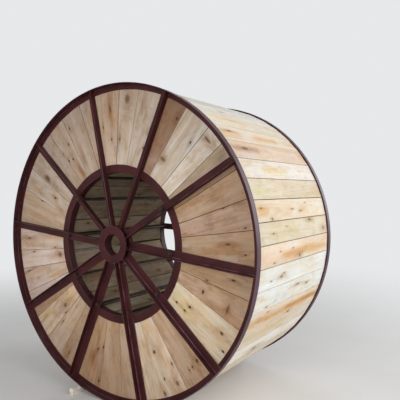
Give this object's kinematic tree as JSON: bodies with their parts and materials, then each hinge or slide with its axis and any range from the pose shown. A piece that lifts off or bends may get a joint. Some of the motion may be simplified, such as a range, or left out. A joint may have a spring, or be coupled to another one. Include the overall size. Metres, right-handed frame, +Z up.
{
  "type": "wooden cable drum",
  "caption": "Steel-framed wooden cable drum with spoked flanges, board lagging and a barrel of staves, lying on its rims on a small timber chock.",
  "frame": {"origin": "on the spindle axis, at mid length of the drum", "axes": "+Y along the spindle axis from the front flange to the rear one, +Z up, +X to the right seen from the front"},
  "size_m": [2.4, 1.457, 2.3998],
  "materials": {
    "red_oxide_paint": "satin",
    "dark_steel": "satin",
    "flange_timber": "raw sawn",
    "barrel_timber": "raw sawn",
    "lagging_timber": "raw sawn",
    "chock_timber": "raw sawn"
  },
  "bodies": {
    "root": {"rim_front": "red_oxide_paint", "inner_ring_front": "red_oxide_paint", "hub_front": "red_oxide_paint", "spoke_front_01": "red_oxide_paint", "spoke_front_02": "red_oxide_paint", "spoke_front_03": "red_oxide_paint", "spoke_front_04": "red_oxide_paint", "spoke_front_05": "red_oxide_paint", "spoke_front_06": "red_oxide_paint", "spoke_front_07": "red_oxide_paint", "spoke_front_08": "red_oxide_paint", "spoke_front_09": "red_oxide_paint", "spoke_front_10": "red_oxide_paint", "sector_boards_front_01": "flange_timber", "sector_boards_front_02": "flange_timber", "sector_boards_front_03": "flange_timber", "sector_boards_front_04": "flange_timber", "sector_boards_front_05": "flange_timber", "sector_boards_front_06": "flange_timber", "sector_boards_front_07": "flange_timber", "sector_boards_front_08": "flange_timber", "sector_boards_front_09": "flange_timber", "sector_boards_front_10": "flange_timber", "tie_rod_nuts_front": "dark_steel", "rim_rear": "red_oxide_paint", "inner_ring_rear": "red_oxide_paint", "hub_rear": "red_oxide_paint", "spoke_rear_01": "red_oxide_paint", "spoke_rear_02": "red_oxide_paint", "spoke_rear_03": "red_oxide_paint", "spoke_rear_04": "red_oxide_paint", "spoke_rear_05": "red_oxide_paint", "spoke_rear_06": "red_oxide_paint", "spoke_rear_07": "red_oxide_paint", "spoke_rear_08": "red_oxide_paint", "spoke_rear_09": "red_oxide_paint", "spoke_rear_10": "red_oxide_paint", "sector_boards_rear_01": "flange_timber", "sector_boards_rear_02": "flange_timber", "sector_boards_rear_03": "flange_timber", "sector_boards_rear_04": "flange_timber", "sector_boards_rear_05": "flange_timber", "sector_boards_rear_06": "flange_timber", "sector_boards_rear_07": "flange_timber", "sector_boards_rear_08": "flange_timber", "sector_boards_rear_09": "flange_timber", "sector_boards_rear_10": "flange_timber", "tie_rod_nuts_rear": "dark_steel", "tie_rods": "dark_steel", "barrel_staves": "barrel_timber", "lagging_boards": "lagging_timber", "chock": "chock_timber"}
  },
  "joints": []
}
